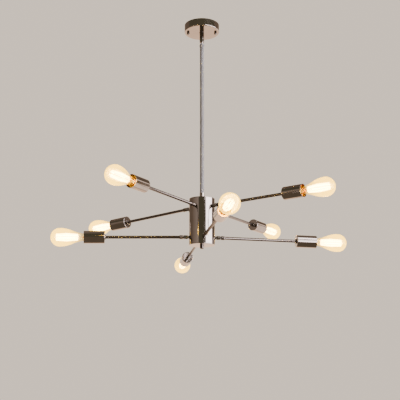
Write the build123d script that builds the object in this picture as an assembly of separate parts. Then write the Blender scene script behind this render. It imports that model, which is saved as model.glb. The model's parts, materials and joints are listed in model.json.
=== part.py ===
from build123d import *
import os
from math import cos, radians, sin, sqrt

# Ceiling chandelier with eight adjustable arms in two tiers, hanging on a rigid rod from a round canopy.
# Millimetres. The origin is on the ceiling, midway between the bracket's two screw slots, +Z is up,
# and the slots and the two canopy knobs lie along X. Heights under the ceiling are negative.

# ---- driving dimensions ----
CANOPY_R = 61.0            # round dish that covers the ceiling outlet
CANOPY_H = 26.5
SHEET = 1.2                # pressed sheet: canopy and lamp cups
KNOB_X = 48.0              # cap nuts that hold the canopy, from its centre

BRACKET_LENGTH, BRACKET_WIDTH, BRACKET_T = 108.0, 24.0, 2.0
SLOT_SPACING, SLOT_LENGTH, SLOT_WIDTH = 74.0, 12.0, 5.2
STUD_R = 2.5

SLEEVE_R = 8.0             # hang-straight swivel under the canopy
SLEEVE_BOTTOM = -63.7
BALL_R = 6.7
COUPLER_R, COUPLER_TOP, COUPLER_BOTTOM = 8.25, -69.7, -83.0

ROD_R, THREAD_R = 7.0, 5.0 # rod and the M10 threads that join it
ROD_TOP, ROD_BOTTOM = -83.3, -624.0
COLLAR_TOP = -608.0

HUB_R, HUB_WALL = 43.3, 1.5
HUB_TOP, HUB_BOTTOM = -629.6, -787.0
HUB_CAP_T = 2.5
UPPER_TIER, LOWER_TIER = -657.8, -760.7
FINIAL_R, FINIAL_H = 7.0, 12.0

PIVOT_R = 57.0             # arm pivots, from the hub's axis
KNUCKLE_R = 6.5
SLOT_GAP, TONGUE_T = 5.0, 4.4
PIN_R = 2.0
ARM_R, ARM_BORE_R = 5.0, 4.0
CUP_BACK = 263.0           # back of the lamp cup, along the arm from its pivot
CUP_R, CUP_LENGTH = 21.0, 68.0
RECESS = 9.0               # lamp holder's front edge, inside the cup's mouth
CAP_R = 13.0               # 26 mm screw cap of the bulb
BULB_R, BULB_REACH = 30.0, 106.0
GLASS = 1.0

TURN = 9.5                 # the whole pendant is turned this far from the line of the knobs
EVEN = 90.0                # spacing of the arms of one tier; the tiers are half of it apart
# How each arm has been set, in degrees: sideways off its even bearing, then up from level.
LOWER_SET = [(-1.5, -1.0), (0.0, -3.5), (-1.5, -1.5), (0.0, 1.5)]
UPPER_SET = [(0.0, -1.5), (1.5, -3.0), (3.0, 1.0), (-1.5, 0.0)]

FIT = 0.05                 # radial clearance of a shaft or a thread in its hole
FREE = 0.3                 # gap between pieces that turn past each other

DOWN = (Align.CENTER, Align.CENTER, Align.MAX)
UP = (Align.CENTER, Align.CENTER, Align.MIN)
OUTWARD = (Align.MIN, Align.CENTER, Align.CENTER)


def rod_between(radius, low, high):
    """Round bar on the Z axis."""
    return Pos(0, 0, low) * Cylinder(radius, high - low, align=UP)


def hole(radius, low, high):
    """Clearance cut on the Z axis, a little longer than the stretch it goes through."""
    return rod_between(radius, low - 1, high + 1)


def hex_nut(flats, thickness, bore, low):
    """Nut on the Z axis, standing on height low."""
    nut = extrude(RegularPolygon(flats / sqrt(3), 6), thickness)
    return Pos(0, 0, low) * (nut - Cylinder(bore, 3 * thickness))


def turned(points, axis=Axis.Z):
    """Solid of revolution from the (radius, height) points of its section."""
    outline = Polyline(*[(r, 0, h) for r, h in points], close=True)
    return revolve(make_face(outline), axis)


# ---- ceiling fixing ----
def mounting_bracket():
    strip = Box(BRACKET_LENGTH, BRACKET_WIDTH, BRACKET_T, align=DOWN)
    strip = fillet(strip.edges().filter_by(Axis.Z), 6)
    slot = extrude(SlotOverall(SLOT_LENGTH, SLOT_WIDTH), BRACKET_T, both=True)
    for side in (-1, 1):
        strip -= Pos(side * SLOT_SPACING / 2, 0, 0) * slot
        strip -= Pos(side * KNOB_X, 0, 0) * Cylinder(STUD_R + FIT, 3 * BRACKET_T)
    return strip - Cylinder(7.5, 3 * BRACKET_T)


def bracket_stud():
    """Threaded stud with its fixing nut under the bracket; the canopy knob runs on its lower end."""
    nut = hex_nut(8, 3, STUD_R, -BRACKET_T - 3)
    return nut + rod_between(STUD_R, -CANOPY_H - 5, -0.2)


def canopy():
    dish = rod_between(CANOPY_R, -CANOPY_H, 0)
    dish = fillet(dish.edges().group_by(Axis.Z)[0], 1.8)
    dish -= rod_between(CANOPY_R - SHEET, -CANOPY_H + SHEET, 1)
    dish -= rod_between(SLEEVE_R + FIT, -CANOPY_H - 1, 0)
    for side in (-1, 1):
        dish -= Pos(side * KNOB_X, 0, 0) * rod_between(STUD_R + 0.2, -CANOPY_H - 1, 0)
    return dish


def canopy_knob():
    knob = rod_between(4.75, -CANOPY_H - 8, -CANOPY_H)
    knob = fillet(knob.edges().group_by(Axis.Z)[0], 2)
    return knob - rod_between(STUD_R + FIT, -CANOPY_H - 5.5, -CANOPY_H + 1)


def terminal_block():
    """Three-way screw connector under the bracket, beside its wire hole."""
    block = Pos(19.5, 0, -BRACKET_T) * Box(17, 20, 11, align=DOWN)
    block = chamfer(block.edges().filter_by(Axis.X), 1)
    for y in (-6, 0, 6):
        block -= Pos(19.5, y, -BRACKET_T - 7) * Rot(0, 90, 0) * Cylinder(1.8, 20)
        block -= Pos(19.5, y, -BRACKET_T - 11) * Cylinder(1.5, 6)
    return block


# ---- hang-straight swivel ----
BALL_Z = SLEEVE_BOTTOM + 4.5
LIP_R = 6.2                # the ball rests on this edge
SLEEVE_BORE = 7.0
NECK_R, WIRE_R = 4.2, 3.3


def swivel_sleeve():
    lip_top = BALL_Z - sqrt((BALL_R + 0.1) ** 2 - LIP_R**2)
    flange = rod_between(9.2, -CANOPY_H - 1.5, -CANOPY_H)
    barrel = rod_between(SLEEVE_R, SLEEVE_BOTTOM, -13)
    barrel = chamfer(barrel.edges().group_by(Axis.Z)[0], 0.5)
    sleeve = flange + barrel
    sleeve -= rod_between(SLEEVE_BORE, lip_top, 0)
    return sleeve - rod_between(LIP_R, SLEEVE_BOTTOM - 1, lip_top + 1)


def swivel_nut():
    return hex_nut(24, 5, SLEEVE_R + FIT, -CANOPY_H + SHEET)


def swivel_ball():
    """Ball on a hollow neck, which is threaded into the coupler."""
    ball = Pos(0, 0, BALL_Z) * Sphere(BALL_R)
    ball += rod_between(NECK_R, COUPLER_TOP - 8, BALL_Z)
    return ball - rod_between(WIRE_R, COUPLER_TOP - 9, BALL_Z + 10)


def wire_bush():
    """Nylon bead at the ball's centre that keeps the lead off the metal when the pendant leans."""
    return Pos(0, 0, BALL_Z) * (Sphere(WIRE_R - FREE) - Cylinder(1.8, 10))


def rod_coupler():
    body = rod_between(COUPLER_R, COUPLER_BOTTOM, COUPLER_TOP)
    body = fillet(body.edges().filter_by(GeomType.CIRCLE), 2.5)
    body += rod_between(THREAD_R, COUPLER_BOTTOM - 20, COUPLER_BOTTOM + 3)
    body -= rod_between(NECK_R + FIT, COUPLER_TOP - 8, COUPLER_TOP + 1)
    return body - rod_between(WIRE_R, COUPLER_BOTTOM - 21, COUPLER_TOP)


# ---- rod and hub ----
def rod():
    return rod_between(ROD_R, ROD_BOTTOM, ROD_TOP) - hole(THREAD_R + FIT, ROD_BOTTOM, ROD_TOP)


def rod_collar():
    collar = rod_between(SLEEVE_R, HUB_TOP, COLLAR_TOP)
    collar = chamfer(collar.edges().group_by(Axis.Z)[-1], 0.6)
    collar -= rod_between(ROD_R + FIT, ROD_BOTTOM, COLLAR_TOP + 1)
    return collar - rod_between(THREAD_R + FIT, HUB_TOP - 1, ROD_BOTTOM + 1)


def centre_nipple():
    """Hollow threaded rod through the hub: the collar and the finial pull the two caps together on it."""
    nipple = rod_between(THREAD_R, HUB_BOTTOM - FINIAL_H + 4, ROD_BOTTOM + 20)
    nipple -= rod_between(WIRE_R, HUB_BOTTOM - FINIAL_H, ROD_BOTTOM + 21)
    wire_port = Rot(0, 90, 0) * Cylinder(2.5, 4 * THREAD_R)
    for tier in (UPPER_TIER, LOWER_TIER):
        nipple -= Pos(0, 0, tier) * wire_port
    return nipple


RIM_H, RIM_T = 4.0, 2.4    # low rim under each end cap


def hub_cap(low, outer_face):
    """End disc of the hub with a low rim that centres it in the shell."""
    disc = rod_between(HUB_R, low, low + HUB_CAP_T)
    disc = fillet(disc.edges().group_by(Axis.Z)[outer_face], 0.8)
    rim_low = low + HUB_CAP_T if outer_face == 0 else low - RIM_H
    rim_r = HUB_R - HUB_WALL - FIT
    rim = rod_between(rim_r, rim_low, rim_low + RIM_H) - hole(rim_r - RIM_T, rim_low, rim_low + RIM_H)
    return disc + rim - hole(THREAD_R + FIT, low - RIM_H, low + HUB_CAP_T + RIM_H)


def finial():
    knob = rod_between(FINIAL_R, HUB_BOTTOM - FINIAL_H, HUB_BOTTOM)
    knob = fillet(knob.edges().group_by(Axis.Z)[0], 3.5)
    return knob - rod_between(THREAD_R + FIT, HUB_BOTTOM - FINIAL_H + 3.5, HUB_BOTTOM + 1)


# ---- the arms' bearings and places ----
def arm_settings():
    """Yields tier name, number, height, bearing and tilt of every arm."""
    tiers = (("lower", LOWER_TIER, TURN, LOWER_SET), ("upper", UPPER_TIER, TURN + EVEN / 2, UPPER_SET))
    for tier, height, first, settings in tiers:
        for number, (sideways, tilt) in enumerate(settings):
            yield tier, number + 1, height, first + number * EVEN + sideways, tilt


def on_hub(height, bearing):
    """Frame on the hub's axis with +X along the arm's bearing."""
    return Pos(0, 0, height) * Rot(0, 0, bearing)


def on_pivot(height, bearing, tilt):
    """Frame on the arm's pivot with +X along the arm."""
    return on_hub(height, bearing) * Pos(PIVOT_R, 0, 0) * Rot(0, -tilt, 0)


def along_x(solid):
    """Turns a piece modelled on +Z to lie on +X."""
    return Rot(0, 90, 0) * solid


def hub_shell():
    shell = rod_between(HUB_R, HUB_BOTTOM + HUB_CAP_T, HUB_TOP - HUB_CAP_T)
    shell -= rod_between(HUB_R - HUB_WALL, HUB_BOTTOM, HUB_TOP)
    for _, _, height, bearing, _ in arm_settings():
        shell -= on_hub(height, bearing) * along_x(rod_between(SHANK_R + 0.1, HUB_R - 6, HUB_R + 6))
    return shell


# ---- knuckle between hub and arm ----
SHANK_R, SHANK_BORE_R = 4.0, 2.5     # hollow M8 shank through the hub's wall
SHANK_START = 33.0
EAR_START = PIVOT_R - KNUCKLE_R - 0.5
PIN_HEAD_R, PIN_SEAT = 3.4, 5.5


def knuckle_base():
    """Fork on a hollow shank. Modelled along +X from the hub's axis."""
    shank = rod_between(SHANK_R, SHANK_START, EAR_START)
    shoulder = rod_between(5.5, HUB_R + FIT, HUB_R + 1.8)
    barrel = rod_between(KNUCKLE_R, EAR_START - 2.5, PIVOT_R)
    base = along_x(shank + shoulder + barrel)
    round_end = Pos(PIVOT_R, 0, 0) * Rot(90, 0, 0) * Cylinder(KNUCKLE_R, 4 * KNUCKLE_R)
    ears = along_x(rod_between(KNUCKLE_R, PIVOT_R - 1, PIVOT_R + KNUCKLE_R)) & round_end
    base += ears
    base -= Pos(EAR_START, 0, 0) * Box(40, SLOT_GAP, 40, align=OUTWARD)
    base -= Pos(PIVOT_R, 0, 0) * Rot(90, 0, 0) * Cylinder(PIN_R + FIT, 4 * KNUCKLE_R)
    for side in (-1, 1):
        spot = Cylinder(PIN_HEAD_R + 0.2, 5, align=UP)
        base -= Pos(PIVOT_R, side * PIN_SEAT, 0) * Rot(-side * 90, 0, 0) * spot
    return base - along_x(hole(SHANK_BORE_R, SHANK_START, EAR_START))


def knuckle_screw():
    """Cross screw that is the arm's hinge pin, with a low round head and a riveted end."""
    pin = rod_between(PIN_R, -PIN_SEAT - 1, PIN_SEAT)
    top = PIN_SEAT + 2
    head = rod_between(PIN_HEAD_R, PIN_SEAT, top)
    head = fillet(head.edges().group_by(Axis.Z)[-1], 0.8)
    head -= Pos(0, 0, top) * Box(8, 0.8, 1.4)
    rivet = rod_between(PIN_HEAD_R - 0.6, -PIN_SEAT - 1.4, -PIN_SEAT)
    return Pos(PIVOT_R, 0, 0) * Rot(90, 0, 0) * (pin + head + rivet)


def knuckle_locknut():
    face = HUB_R - HUB_WALL - 0.8
    return along_x(hex_nut(13, 5, SHANK_R + FIT, face - 5))


# ---- pieces of one arm, modelled along +X from the pivot ----
MOUTH = CUP_BACK + CUP_LENGTH
HEAD_START = KNUCKLE_R + 0.5
HEAD_END = HEAD_START + 10


def arm():
    """Tube brazed into its knuckle head, whose tongue turns in the fork."""
    end = CUP_BACK + 11
    section = [(0, HEAD_START), (KNUCKLE_R, HEAD_START), (KNUCKLE_R, HEAD_END)]
    section += [(ARM_R, HEAD_END + 2), (ARM_R, end), (0, end)]
    body = along_x(turned(section))
    tongue = Rot(90, 0, 0) * Cylinder(KNUCKLE_R - 0.2, TONGUE_T)
    tongue += Box(HEAD_START + 1, TONGUE_T, 2 * KNUCKLE_R - 3, align=OUTWARD)
    body += tongue
    body -= Rot(90, 0, 0) * Cylinder(PIN_R + FIT, 4 * KNUCKLE_R)
    wire_way = hole(SHANK_BORE_R, HEAD_START, HEAD_END) + hole(ARM_BORE_R, HEAD_END + 1, end)
    return body - along_x(wire_way)


def socket_cup():
    cup = rod_between(CUP_R, CUP_BACK, MOUTH)
    cup = fillet(cup.edges().group_by(Axis.Z)[0], 1.6)
    cup -= rod_between(CUP_R - SHEET, CUP_BACK + 2, MOUTH + 1)
    return along_x(cup - rod_between(ARM_R + FIT, CUP_BACK - 1, CUP_BACK + 3))


def lamp_holder():
    """Porcelain screw holder, threaded on the arm's end."""
    front = MOUTH - RECESS
    body = rod_between(CUP_R - SHEET - 1.3, CUP_BACK + 2, front)
    body -= rod_between(CAP_R + 0.5, front - 33, front + 1)
    return along_x(body - rod_between(ARM_R + FIT, CUP_BACK + 1, front - 20))


CAP_FRONT = MOUTH - RECESS + 1


def bulb_cap():
    """Screw cap of the bulb with its centre contact."""
    rear = CAP_FRONT - 22
    inside = CAP_R - 0.8
    section = [(0, rear - 5), (4.5, rear - 5), (4.5, rear - 3.5), (CAP_R - 2, rear), (CAP_R, rear + 1)]
    section += [(CAP_R, CAP_FRONT), (inside, CAP_FRONT), (inside, rear + 2), (0, rear + 2)]
    return along_x(turned(section))


def glass_outline(inset):
    """Half outline of the bulb's glass on the XZ plane, this far inside its outer face."""
    radius = BULB_R - inset
    centre = MOUTH + BULB_REACH - BULB_R
    neck = Vector(CAP_R - 1 - inset, 0, CAP_FRONT - 12)
    flare = Vector(CAP_R - 1 - inset, 0, CAP_FRONT + 1)
    belly = Vector(radius, 0, centre)
    shoulder = Vector(radius * cos(radians(45)), 0, centre + radius * sin(radians(45)))
    flank = Spline(flare, belly, tangents=[flare - neck, (0, 0, 1)])
    dome = ThreePointArc(belly, shoulder, Vector(0, 0, centre + radius))
    return [Line(neck, flare), flank, dome]


def bulb():
    """Pear-shaped glass envelope, open at the neck inside the cap."""
    outer, inner = glass_outline(0), glass_outline(GLASS)
    edges = outer + inner + [Line(outer[0] @ 0, inner[0] @ 0), Line(outer[-1] @ 1, inner[-1] @ 1)]
    return along_x(revolve(make_face(Wire(edges)), Axis.Z))


# ---- write one file for each sub-part ----
def write(name, *solids):
    shape = solids[0] if len(solids) == 1 else Compound(children=list(solids))
    export_step(shape, f"parts/{name}.step")


def main():
    os.makedirs("parts", exist_ok=True)
    sides = (-1, 1)
    write("mounting_bracket", mounting_bracket())
    write("bracket_studs", *[Pos(side * KNOB_X, 0, 0) * bracket_stud() for side in sides])
    write("canopy", canopy())
    write("canopy_knobs", *[Pos(side * KNOB_X, 0, 0) * canopy_knob() for side in sides])
    write("terminal_block", terminal_block())
    write("swivel_sleeve", swivel_sleeve())
    write("swivel_nut", swivel_nut())
    write("swivel_ball", swivel_ball())
    write("wire_bush", wire_bush())
    write("rod_coupler", rod_coupler())
    write("rod", rod())
    write("rod_collar", rod_collar())
    write("centre_nipple", centre_nipple())
    write("hub_top_cap", hub_cap(HUB_TOP - HUB_CAP_T, -1))
    write("hub_shell", hub_shell())
    write("hub_bottom_cap", hub_cap(HUB_BOTTOM, 0))
    write("finial", finial())

    places = [on_hub(height, bearing) for _, _, height, bearing, _ in arm_settings()]
    write("knuckle_bases", *[place * knuckle_base() for place in places])
    write("knuckle_screws", *[place * knuckle_screw() for place in places])
    write("knuckle_locknuts", *[place * knuckle_locknut() for place in places])

    pieces = {"arm": arm(), "cup": socket_cup(), "holder": lamp_holder()}
    pieces |= {"bulb": bulb(), "bulb_cap": bulb_cap()}
    for tier, number, height, bearing, tilt in arm_settings():
        for piece, solid in pieces.items():
            write(f"{tier}_{piece}_{number}", on_pivot(height, bearing, tilt) * solid)


main()
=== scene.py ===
import json
from math import asin, atan2, cos, degrees, pi, radians, sin, tan

import bpy
from mathutils import Matrix, Vector


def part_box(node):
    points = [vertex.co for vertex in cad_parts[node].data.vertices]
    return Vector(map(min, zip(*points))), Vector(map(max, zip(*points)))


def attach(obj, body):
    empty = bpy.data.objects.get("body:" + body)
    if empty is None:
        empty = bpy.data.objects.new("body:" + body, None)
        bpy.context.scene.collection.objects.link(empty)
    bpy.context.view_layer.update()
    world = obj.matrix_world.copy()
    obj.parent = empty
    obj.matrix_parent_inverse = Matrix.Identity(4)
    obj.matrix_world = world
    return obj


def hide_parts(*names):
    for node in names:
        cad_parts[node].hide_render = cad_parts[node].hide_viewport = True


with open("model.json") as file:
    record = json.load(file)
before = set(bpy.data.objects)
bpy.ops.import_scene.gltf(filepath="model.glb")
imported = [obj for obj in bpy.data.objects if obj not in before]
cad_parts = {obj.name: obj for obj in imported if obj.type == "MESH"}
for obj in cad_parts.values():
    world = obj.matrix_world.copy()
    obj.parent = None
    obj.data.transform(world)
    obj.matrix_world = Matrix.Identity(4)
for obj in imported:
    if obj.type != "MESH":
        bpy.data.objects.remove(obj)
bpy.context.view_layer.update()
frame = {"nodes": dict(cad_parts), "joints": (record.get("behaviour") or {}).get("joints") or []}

MM = 0.001

SHEET = 1.2          # pressed sheet of the canopy and the lamp cups, in millimetres
FIT = 0.05           # clearance of a shaft or a thread in its hole

# Radii and heights on the pendant's axis, in millimetres from the ceiling.
CANOPY_R, CANOPY_LOW = 61.0, -26.5
KNOB_X, KNOB_R, KNOB_LOW = 48.0, 4.75, -34.5
GRIP_R, GRIP_RIBS = 0.3, 18
SLEEVE_R, SLEEVE_BORE_R, SLEEVE_MOUTH_R = 8.0, 7.0, 6.2
SLEEVE_TOP, SLEEVE_LOW = -13.0, -63.7
FLANGE_R, FLANGE_LOW = 9.2, -28.0
BALL_R, BALL_HEIGHT = 6.7, -59.2
NECK_R, NECK_LOW, WIRE_BORE_R = 4.2, -77.7, 3.3
COUPLER_R, COUPLER_TOP, COUPLER_LOW, STUD_LOW = 8.25, -69.7, -83.0, -103.0
THREAD_R = 5.0
ROD_R, ROD_TOP, ROD_LOW = 7.0, -83.3, -624.0
COLLAR_R, COLLAR_TOP = 8.0, -608.0
HUB_R, HUB_WALL, HUB_TOP, HUB_LOW = 43.3, 1.5, -629.6, -787.0
HUB_CAP_T, RIM_R, RIM_BORE_R, RIM_H = 2.5, 41.7, 39.3, 4.0
FINIAL_R, FINIAL_H = 7.0, 12.0

# Sizes along one arm, in millimetres from its pivot.
CUP_BACK, CUP_LENGTH, CUP_R = 263.0, 68.0, 21.0
MOUTH = CUP_BACK + CUP_LENGTH
HOLDER_FRONT = MOUTH - 9.0
ARM_R, ARM_BORE_R = 5.0, 4.0
KNUCKLE_R, TONGUE_T, PIN_BORE_R = 6.5, 4.4, 2.05
HEAD_START, HEAD_END = 7.0, 17.0
BULB_R, BULB_TIP, CAP_R, GLASS = 29.98, MOUTH + 105.98, 13.0, 0.9
CAP_FRONT = HOLDER_FRONT + 1
CAP_REAR = CAP_FRONT - 22
STRIPS, STRIP_R, STRIP_LOW, STRIP_HIGH = 8, 2.5, MOUTH + 18, MOUTH + 88
LAMP_PITCH = 3.6     # screw thread of the cap and its shell


# ---- nodes ----
def add(tree, kind, inputs=(), **properties):
    """Adds a node. Each input is linked if it is given a socket, and set if it is given a value."""
    node = tree.nodes.new(kind)
    for name, value in properties.items():
        setattr(node, name, value)
    for socket, value in dict(inputs).items():
        if isinstance(value, bpy.types.NodeSocket):
            tree.links.new(value, node.inputs[socket])
        else:
            node.inputs[socket].default_value = value
    return node


def named_sockets(tree, inputs, outputs):
    """Gives a node group its inputs (name, kind, value or None) and outputs (name, kind)."""
    for name, kind, value in inputs:
        socket = tree.interface.new_socket(name, in_out="INPUT", socket_type="NodeSocket" + kind)
        if value is not None:
            socket.default_value = value
    for name, kind in outputs:
        tree.interface.new_socket(name, in_out="OUTPUT", socket_type="NodeSocket" + kind)
    return add(tree, "NodeGroupInput").outputs


# ---- geometry node trees ----
def new_tree(name, *sockets):
    tree = bpy.data.node_groups.new(name, "GeometryNodeTree")
    sockets = [("Geometry", "Geometry", None), *sockets, ("Material", "Material", None)]
    return tree, named_sockets(tree, sockets, [("Geometry", "Geometry")])


def end_tree(tree, geometry, material):
    """Real geometry, shaded smooth except over sharp corners, in the piece's material."""
    real = add(tree, "GeometryNodeRealizeInstances", {0: geometry})
    angle = add(tree, "GeometryNodeInputMeshEdgeAngle")
    soft = add(tree, "FunctionNodeCompare", {0: angle.outputs["Unsigned Angle"], 1: radians(38)},
               data_type="FLOAT", operation="LESS_THAN")
    faces = add(tree, "GeometryNodeSetShadeSmooth", {"Geometry": real.outputs[0]})
    edges = add(tree, "GeometryNodeSetShadeSmooth",
                {"Geometry": faces.outputs[0], "Shade Smooth": soft.outputs[0]}, domain="EDGE")
    painted = add(tree, "GeometryNodeSetMaterial", {"Geometry": edges.outputs[0], "Material": material})
    add(tree, "NodeGroupOutput", {0: painted.outputs[0]})
    return tree


GUIDE_R = 0.1        # radius of the lathe's guide circle, in metres


def lathe_tree():
    """Turns the half outline it is given round Z, and stores how far along the outline each point is."""
    tree, given = new_tree("turned on a lathe", ("Segments", "Int", 64))
    guide = add(tree, "GeometryNodeCurvePrimitiveCircle",
                {"Resolution": given["Segments"], "Radius": GUIDE_R})
    length = add(tree, "GeometryNodeSplineParameter")
    kept = add(tree, "GeometryNodeCaptureAttribute", {"Geometry": given["Geometry"]})
    kept.capture_items.new("FLOAT", "Along")
    tree.links.new(length.outputs["Factor"], kept.inputs["Along"])
    swept = add(tree, "GeometryNodeCurveToMesh",
                {"Curve": guide.outputs[0], "Profile Curve": kept.outputs["Geometry"]})
    stored = add(tree, "GeometryNodeStoreNamedAttribute",
                 {"Geometry": swept.outputs[0], "Name": "along", "Value": kept.outputs["Along"]})
    closed = add(tree, "GeometryNodeMergeByDistance", {"Geometry": stored.outputs[0], "Distance": 1e-6})
    return end_tree(tree, closed.outputs[0], given["Material"])


def thread_tree():
    """A round ridge wound helically on Z, as on a screw shell."""
    tree, given = new_tree("screw thread", ("Radius", "Float", 0.013), ("Height", "Float", 0.01),
                           ("Turns", "Float", 3.0), ("Ridge", "Float", 0.0006))
    helix = add(tree, "GeometryNodeCurveSpiral",
                {"Resolution": 40, "Rotations": given["Turns"], "Start Radius": given["Radius"],
                 "End Radius": given["Radius"], "Height": given["Height"]})
    section = add(tree, "GeometryNodeCurvePrimitiveCircle", {"Resolution": 10, "Radius": given["Ridge"]})
    ridge = add(tree, "GeometryNodeCurveToMesh",
                {"Curve": helix.outputs[0], "Profile Curve": section.outputs[0], "Fill Caps": True})
    return end_tree(tree, ridge.outputs[0], given["Material"])


def spread_tree():
    """Copies what it is given round Z, evenly, as often as asked."""
    tree, given = new_tree("spread round the axis", ("Count", "Int", 4))
    points = add(tree, "GeometryNodeMeshLine", {"Count": given["Count"], "Offset": (0, 0, 0)}, mode="OFFSET")
    number = add(tree, "GeometryNodeInputIndex")
    step = add(tree, "ShaderNodeMath", {0: 2 * pi, 1: given["Count"]}, operation="DIVIDE")
    turn = add(tree, "ShaderNodeMath", {0: number.outputs[0], 1: step.outputs[0]}, operation="MULTIPLY")
    about_z = add(tree, "ShaderNodeCombineXYZ", {"Z": turn.outputs[0]})
    placed = add(tree, "GeometryNodeInstanceOnPoints",
                 {"Points": points.outputs[0], "Instance": given["Geometry"], "Rotation": about_z.outputs[0]})
    return end_tree(tree, placed.outputs[0], given["Material"])


def wire_tree():
    """Round wire along the line it is given, with closed ends."""
    tree, given = new_tree("round wire", ("Radius", "Float", 0.0005), ("Sides", "Int", 12))
    section = add(tree, "GeometryNodeCurvePrimitiveCircle",
                  {"Resolution": given["Sides"], "Radius": given["Radius"]})
    wire = add(tree, "GeometryNodeCurveToMesh",
               {"Curve": given["Geometry"], "Profile Curve": section.outputs[0], "Fill Caps": True})
    return end_tree(tree, wire.outputs[0], given["Material"])


def plate_tree():
    """Flat plate cut to the closed outlines it is given, raised to a thickness."""
    tree, given = new_tree("plate cut to an outline", ("Thickness", "Float", 0.002))
    flat = add(tree, "GeometryNodeFillCurve", {"Curve": given["Geometry"]})
    raised = add(tree, "GeometryNodeExtrudeMesh",
                 {"Mesh": flat.outputs[0], "Offset Scale": given["Thickness"], "Individual": False})
    under = add(tree, "GeometryNodeFlipFaces", {"Mesh": flat.outputs[0]})
    both = add(tree, "GeometryNodeJoinGeometry")
    tree.links.new(raised.outputs["Mesh"], both.inputs[0])
    tree.links.new(under.outputs[0], both.inputs[0])
    closed = add(tree, "GeometryNodeMergeByDistance", {"Geometry": both.outputs[0], "Distance": 1e-6})
    return end_tree(tree, closed.outputs[0], given["Material"])


LATHE, THREAD, SPREAD, WIRE, PLATE = lathe_tree(), thread_tree(), spread_tree(), wire_tree(), plate_tree()


def grown(tree, base, **values):
    """Plain mesh that a node tree makes from a curve or mesh."""
    source = bpy.data.objects.new("source", base)
    bpy.context.scene.collection.objects.link(source)
    modifier = source.modifiers.new("tree", "NODES")
    modifier.node_group = tree
    for item in tree.interface.items_tree:
        if item.in_out == "INPUT" and item.name in values:
            modifier[item.identifier] = values[item.name]
    seen = source.evaluated_get(bpy.context.evaluated_depsgraph_get())
    mesh = bpy.data.meshes.new_from_object(seen)
    bpy.data.objects.remove(source)
    return mesh


def line(*runs, closed=False):
    """Curve with one spline through each run of points, in metres."""
    curve = bpy.data.curves.new("line", "CURVE")
    curve.dimensions = "3D"
    for points in runs:
        spline = curve.splines.new("POLY")
        spline.points.add(len(points) - 1)
        for place, point in zip(spline.points, points):
            place.co = (*point, 1)
        spline.use_cyclic_u = closed
    return curve


def rounded(*corners, steps=6):
    """Outline through (radius, height, rounding) corners. A rounding gets an arc, with one more
    point beside each end of it so that the flat faces next to it stay flat in smooth shading."""
    points = []
    for i, corner in enumerate(corners):
        here = Vector(corner[:2])
        rounding = corner[2] if len(corner) > 2 else 0
        if not rounding:
            points.append(here)
            continue
        into = (Vector(corners[i - 1][:2]) - here).normalized()
        away = (Vector(corners[(i + 1) % len(corners)][:2]) - here).normalized()
        half = into.angle(away) / 2
        reach = rounding / tan(half)
        centre = here + (into + away).normalized() * (rounding / sin(half))
        start, end = here + into * reach, here + away * reach
        first, last = atan2(*(start - centre).yx), atan2(*(end - centre).yx)
        sweep = (last - first + pi) % (2 * pi) - pi
        beside = min(0.3, rounding / 3)
        points.append(start + into * beside)
        for k in range(steps + 1):
            angle = first + sweep * k / steps
            points.append(centre + rounding * Vector((cos(angle), sin(angle))))
        points.append(end + away * beside)
    return points


def turned(material, outline, segments=96, closed=False):
    """Mesh turned round Z from a millimetre outline that runs down the outside from the top."""
    section = line([(r * MM - GUIDE_R, -h * MM, 0) for r, h in outline], closed=closed)
    return grown(LATHE, section, Segments=segments, Material=material)


def thread(material, radius, low, high, pitch, ridge):
    """Helical ridge on Z between two heights, in millimetres."""
    mesh = grown(THREAD, line([(0, 0, 0), (0, 0, MM)]), Radius=radius * MM, Height=(high - low) * MM,
                 Turns=(high - low) / pitch, Ridge=ridge * MM, Material=material)
    mesh.transform(Matrix.Translation((0, 0, low * MM)))
    return mesh


def wire(material, points, radius, sides=12, count=1):
    """Wire through points in millimetres, repeated evenly round Z."""
    path = line([Vector(point) * MM for point in points])
    one = grown(WIRE, path, Radius=radius * MM, Sides=sides, Material=material)
    return grown(SPREAD, one, Count=count, Material=material) if count > 1 else one


# ---- pieces ----
def piece(name, meshes, body, slot, *nodes, place=Matrix.Identity(4)):
    """Joins meshes, in place, into one object that rides on a body and stands for the CAD nodes."""
    parts = []
    for mesh in meshes:
        part = bpy.data.objects.new(name, mesh.copy())
        part.data.transform(place)
        bpy.context.scene.collection.objects.link(part)
        parts.append(part)
    whole = parts[0]
    if len(parts) > 1:
        with bpy.context.temp_override(active_object=whole, selected_editable_objects=parts):
            bpy.ops.object.join()
    whole.data.name = name
    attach(whole, body)
    if nodes:
        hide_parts(*nodes)
    return whole


# ---- shader node groups ----
def new_group(name, inputs, outputs):
    group = bpy.data.node_groups.new(name, "ShaderNodeTree")
    return group, named_sockets(group, inputs, outputs)


def ramp(tree, value, low, high, to_low=0.0, to_high=1.0):
    ends = {"From Min": low, "From Max": high, "To Min": to_low, "To Max": to_high}
    return add(tree, "ShaderNodeMapRange", {"Value": value, **ends}).outputs[0]


def maths(tree, operation, *values):
    return add(tree, "ShaderNodeMath", dict(enumerate(values)), operation=operation).outputs[0]


def blended(tree, factor, first, second):
    return add(tree, "ShaderNodeMix", {0: factor, 6: first, 7: second}, data_type="RGBA").outputs[2]


def noise(tree, where, scale, detail=3.0, roughness=0.5):
    return add(tree, "ShaderNodeTexNoise",
               {"Vector": where, "Scale": scale, "Detail": detail, "Roughness": roughness}).outputs["Fac"]


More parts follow.
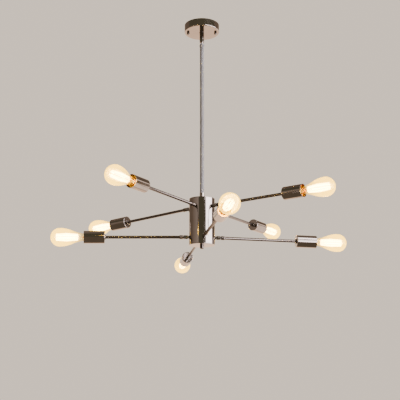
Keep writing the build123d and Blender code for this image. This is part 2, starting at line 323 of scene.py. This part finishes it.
def plating_group():
    """Polished plate: cloudy tone, fine polishing lines that run round the pieces, and settled dust."""
    group, given = new_group(
        "polished plate",
        [("Colour", "Color", (0.5, 0.5, 0.5, 1)), ("Cloud Colour", "Color", (0.4, 0.4, 0.4, 1)),
         ("Cloud Scale", "Float", 20.0), ("Smoothest", "Float", 0.05), ("Roughest", "Float", 0.15),
         ("Dust", "Float", 0.1)],
        [("Colour", "Color"), ("Roughness", "Float"), ("Height", "Float")])
    where = add(group, "ShaderNodeTexCoord").outputs["Object"]
    cloud = ramp(group, noise(group, where, given["Cloud Scale"], 4.0, 0.6), 0.35, 0.68)
    specks = ramp(group, noise(group, where, 650.0, 2.0), 0.62, 0.78)
    dust = maths(group, "MULTIPLY", specks, given["Dust"])
    along = add(group, "ShaderNodeAttribute", attribute_name="along").outputs["Fac"]
    lines = add(group, "ShaderNodeTexNoise", {"W": along, "Scale": 260.0, "Detail": 2.0},
                noise_dimensions="1D")
    gloss = add(group, "ShaderNodeMapRange",
                {"Value": cloud, "To Min": given["Smoothest"], "To Max": given["Roughest"]})
    fine = maths(group, "MULTIPLY", lines.outputs["Fac"], 0.02)
    rough = maths(group, "ADD", maths(group, "ADD", gloss.outputs[0], fine), dust)
    tone = blended(group, cloud, given["Colour"], given["Cloud Colour"])
    dusty = blended(group, maths(group, "MULTIPLY", dust, 0.6), tone, (0.62, 0.58, 0.52, 1))
    height = maths(group, "ADD", maths(group, "MULTIPLY", lines.outputs["Fac"], 0.25), cloud)
    add(group, "NodeGroupOutput", {"Colour": dusty, "Roughness": rough, "Height": height})
    return group


def moulded_group():
    """Moulded or fired ware: mottled tone, fine pits and a slightly uneven gloss."""
    group, given = new_group(
        "mottled ware",
        [("Colour", "Color", (0.8, 0.8, 0.8, 1)), ("Mottle Colour", "Color", (0.7, 0.7, 0.7, 1)),
         ("Mottle Scale", "Float", 120.0), ("Smoothest", "Float", 0.2), ("Roughest", "Float", 0.4)],
        [("Colour", "Color"), ("Roughness", "Float"), ("Height", "Float")])
    where = add(group, "ShaderNodeTexCoord").outputs["Object"]
    mottle = ramp(group, noise(group, where, given["Mottle Scale"], 5.0, 0.55), 0.3, 0.72)
    pits = ramp(group, noise(group, where, 1800.0, 1.0), 0.68, 0.8)
    rough = add(group, "ShaderNodeMapRange",
                {"Value": mottle, "To Min": given["Smoothest"], "To Max": given["Roughest"]})
    tone = blended(group, mottle, given["Colour"], given["Mottle Colour"])
    height = maths(group, "SUBTRACT", mottle, pits)
    add(group, "NodeGroupOutput", {"Colour": tone, "Roughness": rough.outputs[0], "Height": height})
    return group


PLATING, MOULDED = plating_group(), moulded_group()


def new_material(name):
    material = bpy.data.materials.new(name)
    material.use_nodes = True
    tree = material.node_tree
    tree.nodes.clear()
    shader = add(tree, "ShaderNodeBsdfPrincipled")
    add(tree, "ShaderNodeOutputMaterial", {0: shader.outputs[0]})
    return material, tree, shader


def finish_from(tree, shader, group, bump, **values):
    """Feeds a shader's colour, roughness and normal from one of the shared groups."""
    finish = add(tree, "ShaderNodeGroup", node_tree=group)
    for name, value in values.items():
        finish.inputs[name.replace("_", " ")].default_value = value
    normal = add(tree, "ShaderNodeBump",
                 {"Height": finish.outputs["Height"], "Strength": bump, "Distance": 0.0001})
    tree.links.new(finish.outputs["Colour"], shader.inputs["Base Color"])
    tree.links.new(finish.outputs["Roughness"], shader.inputs["Roughness"])
    tree.links.new(normal.outputs[0], shader.inputs["Normal"])
    return finish


def plated(name, colour, cloud, smoothest, roughest, dust=0.08, scale=20.0, bump=0.008, metallic=1.0):
    material, tree, shader = new_material(name)
    shader.inputs["Metallic"].default_value = metallic
    finish_from(tree, shader, PLATING, bump, Colour=(*colour, 1), Cloud_Colour=(*cloud, 1), Cloud_Scale=scale,
                Smoothest=smoothest, Roughest=roughest, Dust=dust)
    return material


def moulded(name, colour, mottle, smoothest, roughest, scale=120.0, bump=0.1, coat=0.0):
    material, tree, shader = new_material(name)
    shader.inputs["Coat Weight"].default_value = coat
    finish_from(tree, shader, MOULDED, bump, Colour=(*colour, 1), Mottle_Colour=(*mottle, 1),
                Mottle_Scale=scale, Smoothest=smoothest, Roughest=roughest)
    return material


def blown_glass(name, glow):
    """Clear glass that lets the filaments' light out. Its warm glow is painted: the glass itself emits,
    fading out towards the neck.
    """
    material, tree, shader = new_material(name)
    where = add(tree, "ShaderNodeTexCoord").outputs["Object"]
    smear = ramp(tree, noise(tree, where, 35.0, 4.0), 0.4, 0.75)
    ray = add(tree, "ShaderNodeLightPath")
    for socket, value in {"Transmission Weight": 1.0, "IOR": 1.45, "Emission Strength": glow}.items():
        shader.inputs[socket].default_value = value
    tint = blended(tree, smear, (1.0, 0.94, 0.70, 1), (1.0, 0.92, 0.64, 1))
    tree.links.new(tint, shader.inputs["Base Color"])
    tree.links.new(maths(tree, "MULTIPLY", smear, 0.03), shader.inputs["Roughness"])
    tree.links.new(maths(tree, "SUBTRACT", 1.0, ray.outputs["Is Shadow Ray"]), shader.inputs["Alpha"])
    # Painted glow: warm emission on the glass, faint at the neck and full over the rest of the bulb.
    along = add(tree, "ShaderNodeAttribute", attribute_name="along").outputs["Fac"]
    from_neck = maths(tree, "ABSOLUTE", maths(tree, "SUBTRACT", along, 0.5))
    painted_glow_mask = ramp(tree, from_neck, 0.08, 0.24)
    painted_glow_colour = blended(tree, painted_glow_mask, (0.04, 0.015, 0.0, 1), (1.0, 0.56, 0.0, 1))
    tree.links.new(painted_glow_colour, shader.inputs["Emission Color"])
    return material


def glowing(name, colour, strength):
    """Lit filament: phosphor coating with a grain in its glow."""
    material, tree, shader = new_material(name)
    where = add(tree, "ShaderNodeTexCoord").outputs["Object"]
    grain = noise(tree, where, 900.0, 2.0)
    dim = tuple(c * 0.8 for c in colour)
    tree.links.new(blended(tree, grain, (*colour, 1), (*dim, 1)), shader.inputs["Emission Color"])
    coating = blended(tree, grain, (0.95, 0.75, 0.35, 1), (0.85, 0.6, 0.25, 1))
    tree.links.new(coating, shader.inputs["Base Color"])
    shader.inputs["Emission Strength"].default_value = strength
    shader.inputs["Roughness"].default_value = 0.6
    return material


HUB_PLATE = plated("black nickel hub", (0.40, 0.36, 0.33), (0.36, 0.32, 0.29), 0.035, 0.08)
CANOPY_PLATE = plated("black nickel canopy", (0.40, 0.36, 0.33), (0.36, 0.32, 0.29), 0.05, 0.10)
# Painted shade: the arms take a copy of the hub's black nickel at about half its colour, so they read dimmer
# than the hub.
SHADED_ARM_PLATE = plated("black nickel arms painted darker", (0.19, 0.165, 0.15), (0.165, 0.14, 0.125), 0.22, 0.30,
                   dust=0.02, bump=0.0008)
CUP_PLATE = plated("black nickel cups", (0.38, 0.34, 0.31), (0.33, 0.29, 0.26), 0.05, 0.11)
ROD_PLATE = plated("satin nickel rod", (0.29, 0.295, 0.31), (0.26, 0.265, 0.28), 0.60, 0.68,
                   dust=0.02, bump=0.002, metallic=0.25)
SCREW_PLATE = plated("black nickel screws", (0.34, 0.31, 0.28), (0.28, 0.25, 0.23), 0.08, 0.2, scale=60.0)
GILT_RING = plated("gilt ring", (0.70, 0.40, 0.03), (0.58, 0.32, 0.02), 0.16, 0.28, scale=60.0)
BRASS = plated("rolled brass", (0.93, 0.56, 0.12), (0.86, 0.48, 0.09), 0.14, 0.28, scale=60.0)
ZINC = plated("zinc plated steel", (0.62, 0.63, 0.62), (0.52, 0.54, 0.56), 0.28, 0.45, scale=90.0, bump=0.06)
WIRE_NICKEL = plated("nickel support wire", (0.6, 0.58, 0.55), (0.5, 0.48, 0.45), 0.2, 0.35, scale=150.0)
PORCELAIN = moulded("white porcelain", (0.86, 0.83, 0.76), (0.80, 0.76, 0.68), 0.12, 0.22, 60.0, 0.05, 0.3)
NYLON = moulded("natural nylon", (0.82, 0.80, 0.73), (0.75, 0.72, 0.65), 0.35, 0.5)
TERMINAL = moulded("white terminal plastic", (0.80, 0.79, 0.75), (0.72, 0.71, 0.67), 0.3, 0.45)
CAP_INSULATOR = moulded("black cap glass", (0.03, 0.03, 0.035), (0.05, 0.05, 0.05), 0.1, 0.25, 80.0, 0.05)
# Painted glow: both glasses emit a little warm light of their own, the bulb far more than the stem.
GLASS_CLEAR = blown_glass("clear bulb glass", 1.3)
GLASS_STEM = blown_glass("clear stem glass", 0.05)
FILAMENT = glowing("lit filament", (1.0, 0.74, 0.34), 50.0)


# ---- ceiling fixing, rod and hub ----
def tube(material, radius, bore, low, high, edge=0.4):
    """Straight tube on Z with eased edges."""
    outline = rounded((bore, high), (radius, high, edge), (radius, low, edge), (bore, low))
    return turned(material, outline, closed=True)


def canopy_pieces():
    inner_r, floor_top = CANOPY_R - SHEET, CANOPY_LOW + SHEET
    dish = rounded((CANOPY_R, 0), (CANOPY_R, CANOPY_LOW, 2.4), (SLEEVE_R + FIT, CANOPY_LOW),
                   (SLEEVE_R + FIT, floor_top), (inner_r, floor_top, 1.2), (inner_r, 0))
    piece("canopy_dish", [turned(CANOPY_PLATE, dish, segments=160, closed=True)], "ceiling_mount",
          "dark_nickel", "canopy")

    knob = turned(CANOPY_PLATE, rounded((0, CANOPY_LOW), (KNOB_R, CANOPY_LOW, 0.4), (KNOB_R, KNOB_LOW, 2.2),
                                        (0, KNOB_LOW)), segments=48)
    rib = [(KNOB_R - GRIP_R, 0, CANOPY_LOW - 1.7), (KNOB_R - GRIP_R, 0, KNOB_LOW + 2.9)]
    grip = wire(CANOPY_PLATE, rib, GRIP_R, sides=8, count=GRIP_RIBS)
    knobs = []
    for side in (-1, 1):
        for mesh in (knob, grip):
            copy = mesh.copy()
            copy.transform(Matrix.Translation((side * KNOB_X * MM, 0, 0)))
            knobs.append(copy)
    piece("canopy_cap_nuts", knobs, "ceiling_mount", "dark_nickel", "canopy_knobs")


def swivel_pieces():
    sleeve = rounded((SLEEVE_BORE_R, SLEEVE_TOP), (SLEEVE_R, SLEEVE_TOP, 0.4), (SLEEVE_R, CANOPY_LOW),
                     (FLANGE_R, CANOPY_LOW, 0.3), (FLANGE_R, FLANGE_LOW, 0.5), (SLEEVE_R, FLANGE_LOW),
                     (SLEEVE_R, SLEEVE_LOW, 0.8), (SLEEVE_MOUTH_R, SLEEVE_LOW, 0.4),
                     (SLEEVE_MOUTH_R, SLEEVE_LOW + 1.7), (SLEEVE_BORE_R, SLEEVE_LOW + 2.7))
    piece("swivel_socket", [turned(SCREW_PLATE, sleeve, closed=True)], "ceiling_mount", "dark_nickel",
          "swivel_sleeve")

    turns = [radians(a) for a in range(30, 142, 6)]
    round_face = [(BALL_R * sin(a), BALL_HEIGHT + BALL_R * cos(a)) for a in turns]
    ball = [(WIRE_BORE_R, BALL_HEIGHT + 5.8), *round_face, (NECK_R, BALL_HEIGHT - 6.8), (NECK_R, NECK_LOW),
            (WIRE_BORE_R, NECK_LOW)]
    piece("ball_and_neck", [turned(SCREW_PLATE, ball, closed=True)], "swivel", "dark_nickel", "swivel_ball")

    coupler = rounded((NECK_R + FIT, COUPLER_TOP), (COUPLER_R, COUPLER_TOP, 2.5),
                      (COUPLER_R, COUPLER_LOW, 2.5), (THREAD_R, COUPLER_LOW),
                      (THREAD_R, STUD_LOW, 0.5), (WIRE_BORE_R, STUD_LOW),
                      (WIRE_BORE_R, NECK_LOW), (NECK_R + FIT, NECK_LOW))
    piece("coupler_drum", [turned(ROD_PLATE, coupler, closed=True)], "swivel", "rod_nickel", "rod_coupler")


def rod_pieces():
    hole_r = THREAD_R + FIT
    piece("straight_rod", [tube(ROD_PLATE, ROD_R, hole_r, ROD_LOW, ROD_TOP)], "pendant", "rod_nickel", "rod")
    collar = rounded((ROD_R + FIT, COLLAR_TOP), (COLLAR_R, COLLAR_TOP, 0.7), (COLLAR_R, HUB_TOP, 0.3),
                     (hole_r, HUB_TOP), (hole_r, ROD_LOW), (ROD_R + FIT, ROD_LOW))
    piece("rod_foot_collar", [turned(HUB_PLATE, collar, closed=True)], "pendant", "dark_nickel", "rod_collar")


def hub_pieces():
    hole_r, bore_r = THREAD_R + FIT, HUB_R - HUB_WALL
    shell_top, shell_low = HUB_TOP - HUB_CAP_T, HUB_LOW + HUB_CAP_T
    top = rounded((hole_r, HUB_TOP), (HUB_R, HUB_TOP, 1.0), (HUB_R, shell_top, 0.25), (RIM_R, shell_top),
                  (RIM_R, shell_top - RIM_H), (RIM_BORE_R, shell_top - RIM_H), (RIM_BORE_R, shell_top),
                  (hole_r, shell_top))
    piece("hub_top_disc", [turned(HUB_PLATE, top, segments=160, closed=True)], "pendant", "dark_nickel",
          "hub_top_cap")
    shell = rounded((bore_r, shell_top), (HUB_R, shell_top, 0.25), (HUB_R, shell_low, 0.25),
                    (bore_r, shell_low))
    piece("hub_drum", [turned(HUB_PLATE, shell, segments=160, closed=True)], "pendant", "dark_nickel",
          "hub_shell")
    bottom = rounded((hole_r, shell_low), (RIM_BORE_R, shell_low), (RIM_BORE_R, shell_low + RIM_H),
                     (RIM_R, shell_low + RIM_H), (RIM_R, shell_low), (HUB_R, shell_low, 0.25),
                     (HUB_R, HUB_LOW, 1.0), (hole_r, HUB_LOW))
    piece("hub_bottom_disc", [turned(HUB_PLATE, bottom, segments=160, closed=True)], "pendant", "dark_nickel",
          "hub_bottom_cap")

    end_low = HUB_LOW - FINIAL_H
    end = rounded((0, HUB_LOW), (FINIAL_R, HUB_LOW, 0.3), (FINIAL_R, end_low, 3.5), (0, end_low))
    bead = rounded((FINIAL_R - 0.4, HUB_LOW - 2.2), (FINIAL_R, HUB_LOW - 2.6, 0.2),
                   (FINIAL_R - 0.4, HUB_LOW - 3.0))
    # Painted shade: the finial's end uses the darker copy of the black nickel that was made for the arms.
    piece("hub_finial", [turned(SHADED_ARM_PLATE, end), turned(HUB_PLATE, bead, closed=True)], "pendant",
          "dark_nickel", "finial")


# ---- one arm, modelled on Z and laid along the arm's own line ----
def glass_outline(inset):
    """Pear outline from the tip to the open neck, this far inside the bulb's outer face."""
    radius, centre, neck = BULB_R - inset, BULB_TIP - BULB_R, CAP_R - 1 - inset
    dome = [(radius * sin(radians(a)), centre + radius * cos(radians(a))) for a in range(0, 91, 5)]
    start, end = Vector((radius, centre)), Vector((neck, CAP_FRONT + 1))
    pull = (centre - CAP_FRONT) * 0.42
    flank, steps = [], 18
    for k in range(1, steps + 1):
        t = k / steps
        a, b, c, d = (1 - t) ** 3, 3 * t * (1 - t) ** 2, 3 * t * t * (1 - t), t ** 3
        flank.append(a * start + b * (start - Vector((0, pull))) + c * (end + Vector((0, pull))) + d * end)
    return dome + [tuple(p) for p in flank] + [(neck, CAP_FRONT - 12)]


def bulb_meshes():
    outer, inner = glass_outline(0), glass_outline(GLASS)
    return [turned(GLASS_CLEAR, outer + inner[::-1], segments=96)]


def mount_meshes():
    """Glass stem inside the bulb with the strips and their support wires."""
    foot, head = CAP_FRONT - 2, MOUTH + 26
    stem = turned(GLASS_STEM, [(0, head + 3), (1.6, head + 2.6), (2.4, head + 1), (2.0, head - 4),
                               (1.9, foot + 14), (3.4, foot + 8), (7.5, foot + 2), (10.8, foot), (0, foot)],
                  segments=40)
    low, high = STRIP_LOW, STRIP_HIGH
    bowed = [(8.0, 0, low), (11.0, 0, (low + high) / 2), (9.0, 0, high)]
    strip = wire(FILAMENT, bowed, STRIP_R, 12, count=STRIPS)
    from_stem = [(1.0, 0, head - 8), (4.0, 0, low - 3), (8.0, 0, low + 1)]
    feet = wire(WIRE_NICKEL, from_stem, 0.3, 8, count=STRIPS)
    to_mast = [(9.0, 0, high - 1), (5.0, 0, high + 4.0), (0, 0, high + 5.5)]
    tops = wire(WIRE_NICKEL, to_mast, 0.3, 8, count=STRIPS)
    mast = wire(WIRE_NICKEL, [(0, 0, head), (0, 0, high + 5.7)], 0.4, 8)
    return [strip, stem, feet, tops, mast]


def cap_meshes():
    shell = rounded((CAP_R - 0.8, CAP_FRONT), (CAP_R - 0.4, CAP_FRONT, 0.1),
                    (CAP_R - 0.5, CAP_REAR + 1.2, 0.8), (CAP_R - 3, CAP_REAR, 0.3), (0, CAP_REAR))
    rings = thread(BRASS, CAP_R - 0.7, CAP_REAR + 3, CAP_FRONT - 5, LAMP_PITCH, 0.7)
    cone = [(0, CAP_REAR), (CAP_R - 3, CAP_REAR), (5, CAP_REAR - 3.4), (0, CAP_REAR - 3.4)]
    insulator = turned(CAP_INSULATOR, cone, segments=48)
    button = rounded((0, CAP_REAR - 3.2), (4.4, CAP_REAR - 3.2, 0.3), (4.4, CAP_REAR - 5, 0.9),
                     (0, CAP_REAR - 5))
    contact = turned(BRASS, button, segments=48)
    return [turned(BRASS, shell), rings, insulator, contact]


def cup_meshes():
    wall = rounded((CUP_R - SHEET, MOUTH, 0.3), (CUP_R, MOUTH, 0.5), (CUP_R, CUP_BACK, 1.8),
                   (ARM_R + FIT, CUP_BACK), (ARM_R + FIT, CUP_BACK + 2), (CUP_R - SHEET, CUP_BACK + 2, 0.6))
    ring_nut = rounded((ARM_R + 0.02, CUP_BACK), (8.0, CUP_BACK, 0.1), (8.0, CUP_BACK - 3.5, 0.8),
                       (ARM_R + 0.02, CUP_BACK - 3.5))
    return [turned(CUP_PLATE, wall, closed=True), turned(SCREW_PLATE, ring_nut, segments=64, closed=True)]


def holder_meshes():
    front, rear, outer = HOLDER_FRONT, CUP_BACK + 2, CUP_R - SHEET - 1.3
    ware = rounded((CAP_R + 1.4, front - 1.2), (outer, front - 1.2, 1.0), (outer, rear, 1.5),
                   (ARM_R + FIT, rear), (ARM_R + FIT, front - 33), (CAP_R + 1.4, front - 33))
    return [turned(PORCELAIN, ware, closed=True)]


def screw_shell_meshes():
    """Brass screw shell in the porcelain, with the gilt ring and lining that close the cup's mouth."""
    front, wall = HOLDER_FRONT, CUP_R - SHEET
    ring = rounded((CAP_R + 0.6, front - 0.8, 0.4), (wall - 1.6, front - 0.2, 0.3), (wall - 1.4, front - 1.0),
                   (CAP_R + 1.2, front - 1.4), (CAP_R + 1.2, front - 30), (CAP_R + 0.6, front - 30))
    inside = thread(BRASS, CAP_R + 0.75, front - 27, front - 6, LAMP_PITCH, 0.5)
    lining = [(wall - 0.1, MOUTH - 1.5), (wall - 0.02, MOUTH - 1.5), (wall - 0.02, front - 1.2),
              (wall - 0.1, front - 1.2)]
    return [turned(GILT_RING, ring, closed=True), turned(GILT_RING, lining, closed=True), inside]


def arm_meshes():
    end = CUP_BACK + 11
    outline = rounded((ARM_BORE_R, end), (ARM_R, end, 0.3), (ARM_R, HEAD_END + 2), (KNUCKLE_R, HEAD_END, 0.8),
                      (KNUCKLE_R, HEAD_START, 0.6), (2.5, HEAD_START), (2.5, HEAD_END),
                      (ARM_BORE_R, HEAD_END))
    return [turned(SHADED_ARM_PLATE, outline, segments=64, closed=True), tongue_mesh()]


def tongue_mesh():
    """Flat tongue with a round end and the pin's bore, in the arm's own plane."""
    reach, half = KNUCKLE_R - 0.2, KNUCKLE_R - 1.5
    open_angle = int(degrees(asin(half / reach)))
    turns = [radians(a) for a in range(open_angle - 180, 181 - open_angle, 8)]
    rim = [(reach * sin(a), -reach * cos(a)) for a in turns]
    edge = [Vector((x, y, 0)) * MM for x, y in [(-half, HEAD_START + 0.6)] + rim + [(half, HEAD_START + 0.6)]]
    steps = 24
    around = [2 * pi * k / steps for k in range(steps)]
    bore = [Vector((PIN_BORE_R * cos(a), PIN_BORE_R * sin(a), 0)) * MM for a in around]
    mesh = grown(PLATE, line(edge, bore, closed=True), Thickness=TONGUE_T * MM, Material=SHADED_ARM_PLATE)
    mesh.transform(Matrix.Translation((0, TONGUE_T * MM / 2, 0)) @ Matrix.Rotation(pi / 2, 4, "X"))
    return mesh


def arm_place(joint, holder):
    """Matrix that lays +Z along the arm from its pivot, with +Y along the hinge pin."""
    pivot = Vector(joint["pos_m"])
    low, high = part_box(holder)
    along = ((Vector(low) + Vector(high)) / 2 - pivot).normalized()
    pin = Vector(joint["axis"]).normalized()
    across = pin.cross(along)
    return Matrix.Translation(pivot) @ Matrix((across, pin, along)).transposed().to_4x4()


def arms():
    joints = {joint["name"]: joint for joint in frame["joints"]}
    made = [("cup", cup_meshes(), "dark_nickel", "cup"),
            ("arm", arm_meshes(), "dark_nickel", "arm"),
            ("holder", holder_meshes(), "porcelain", "holder"),
            ("screw_shell", screw_shell_meshes(), "lamp_brass", None),
            ("bulb_glass", bulb_meshes(), "clear_glass", "bulb"),
            ("filaments", mount_meshes(), "clear_glass", None),
            ("bulb_screw_cap", cap_meshes(), "lamp_brass", "bulb_cap")]
    for tier in ("lower", "upper"):
        for number in range(1, 5):
            body = f"{tier}_arm_{number}"
            place = arm_place(joints[f"{tier}_tilt_{number}"], f"{tier}_holder_{number}")
            for name, meshes, slot, node in made:
                nodes = [f"{tier}_{node}_{number}"] if node else []
                piece(f"{tier}_{name}_{number}_piece", meshes, body, slot, *nodes, place=place)


def carried_over():
    """Gives the CAD nodes that are shown as they are their materials."""
    for material, nodes in ((ZINC, ("mounting_bracket", "bracket_studs", "swivel_nut", "centre_nipple",
                                    "knuckle_locknuts")),
                            (SCREW_PLATE, ("knuckle_bases", "knuckle_screws")),
                            (TERMINAL, ("terminal_block",)), (NYLON, ("wire_bush",))):
        for node in nodes:
            slots = frame["nodes"][node].data.materials
            slots.clear()
            slots.append(material)


canopy_pieces()
swivel_pieces()
rod_pieces()
hub_pieces()
arms()
carried_over()


# ---- light, floor and camera ----
# Light from each part of the surroundings, as red, green, blue, alpha.
LEFT_FAR, LEFT_NEAR, DIM = (0.30, 0.22, 0.16, 1), (0.58, 0.48, 0.42, 1), (0.15, 0.135, 0.09, 1)
BACK_SIDES, BACK_MIDDLE = (0.26, 0.19, 0.14, 1), (1.9, 1.45, 1.1, 1)
LOW_SIDES, LOW_MIDDLE = (0.22, 0.17, 0.12, 1), (2.0, 1.4, 1.0, 1)
BRIGHT_PANEL, SIDE_PANEL, OVERHEAD = (8.6, 7.9, 8.2, 1), (2.2, 1.75, 1.5, 1), (0.35, 0.28, 0.22, 1)
BACKDROP = (1.0, 0.85, 0.7, 1)


def surroundings():
    """Plain backdrop for the camera. The plate reflects dim walls with bright panels on the right."""
    world = bpy.data.worlds.new("soft room")
    bpy.context.scene.world = world
    world.use_nodes = True
    tree = world.node_tree
    tree.nodes.clear()
    way = add(tree, "ShaderNodeTexCoord").outputs["Generated"]
    axes = add(tree, "ShaderNodeSeparateXYZ", {0: way}).outputs
    toward = maths(tree, "MULTIPLY", axes["Y"], -1.0)
    bearing = maths(tree, "MULTIPLY", maths(tree, "ARCTAN2", axes["X"], toward), 180 / pi)

    def band(start, end, soft):
        """1 between two bearings, in degrees to the right of the viewer's side."""
        rise = ramp(tree, bearing, start - soft, start + soft)
        fall = ramp(tree, bearing, end - soft, end + soft)
        return maths(tree, "SUBTRACT", rise, fall)

    def level(bottom, full, still_full, top):
        """1 between two heights on the unit sphere, with soft edges."""
        rise = ramp(tree, axes["Z"], bottom, full)
        fall = ramp(tree, axes["Z"], still_full, top)
        return maths(tree, "SUBTRACT", rise, fall)

    def without(panel, strip):
        """Panel with a dark strip across it."""
        return maths(tree, "MULTIPLY", panel, maths(tree, "SUBTRACT", 1.0, strip))

    dim_front = maths(tree, "MAXIMUM", band(-30, 100, 3), ramp(tree, axes["Z"], 0.33, 0.40))
    left = blended(tree, ramp(tree, bearing, -95, -32), LEFT_FAR, LEFT_NEAR)
    front = blended(tree, dim_front, left, DIM)
    back = blended(tree, ramp(tree, axes["Y"], 0.84, 0.92), BACK_SIDES, BACK_MIDDLE)
    walls = blended(tree, ramp(tree, axes["Y"], -0.05, 0.15), front, back)
    low = blended(tree, ramp(tree, axes["Y"], 0.6, 0.8), LOW_SIDES, LOW_MIDDLE)
    lit = blended(tree, ramp(tree, axes["Z"], -0.12, -0.04), low, walls)

    low_panel = maths(tree, "MULTIPLY", band(21, 98, 1), level(-0.30, -0.24, 0.33, 0.40))
    strip = maths(tree, "MULTIPLY", ramp(tree, bearing, 34, 38, 1.0, 0.0), level(0.14, 0.16, 0.24, 0.26))
    high_panel = maths(tree, "MULTIPLY", band(27.5, 48, 0.5), level(0.50, 0.56, 0.84, 0.88))
    lit = blended(tree, maths(tree, "ADD", without(low_panel, strip), high_panel), lit, BRIGHT_PANEL)
    side_panel = maths(tree, "MULTIPLY", band(109.5, 152, 1), level(-0.75, -0.65, 0.36, 0.42))
    lit = blended(tree, without(side_panel, level(0.13, 0.16, 0.24, 0.27)), lit, SIDE_PANEL)
    lit = blended(tree, ramp(tree, axes["Z"], 0.84, 0.92), lit, OVERHEAD)

    ray = add(tree, "ShaderNodeLightPath")
    seen = maths(tree, "MAXIMUM", ray.outputs["Is Camera Ray"], ray.outputs["Is Transmission Ray"])
    shown = blended(tree, seen, lit, BACKDROP)
    light = add(tree, "ShaderNodeBackground", {"Color": shown, "Strength": 1.0})
    add(tree, "ShaderNodeOutputWorld", {0: light.outputs[0]})


def floor():
    material, tree, shader = new_material("pale floor")
    finish_from(tree, shader, MOULDED, 0.02, Colour=(0.78, 0.70, 0.62, 1),
                Mottle_Colour=(0.74, 0.66, 0.58, 1), Mottle_Scale=2.0, Smoothest=0.6, Roughest=0.8)
    mesh = bpy.data.meshes.new("floor")
    half, height = 30.0, -2.2
    corners = [(x * half, y * half, height) for x, y in ((-1, -1), (1, -1), (1, 1), (-1, 1))]
    mesh.from_pydata(corners, [], [(0, 1, 2, 3)])
    mesh.materials.append(material)
    ground = bpy.data.objects.new("floor", mesh)
    bpy.context.scene.collection.objects.link(ground)
    ground.visible_glossy = False


def camera():
    back, down = 2.5505, 1.2347         # from the middle of the canopy, in metres
    upward, roll = 13.279, 0.148        # in degrees
    data = bpy.data.cameras.new("camera")
    data.lens = 70.375
    data.sensor_width = 36.0
    eye = bpy.data.objects.new("camera", data)
    eye.location = (0, -back, -down)
    eye.rotation_euler = (radians(90 + upward), 0, radians(roll))
    bpy.context.scene.collection.objects.link(eye)
    bpy.context.scene.camera = eye


surroundings()
floor()
camera()
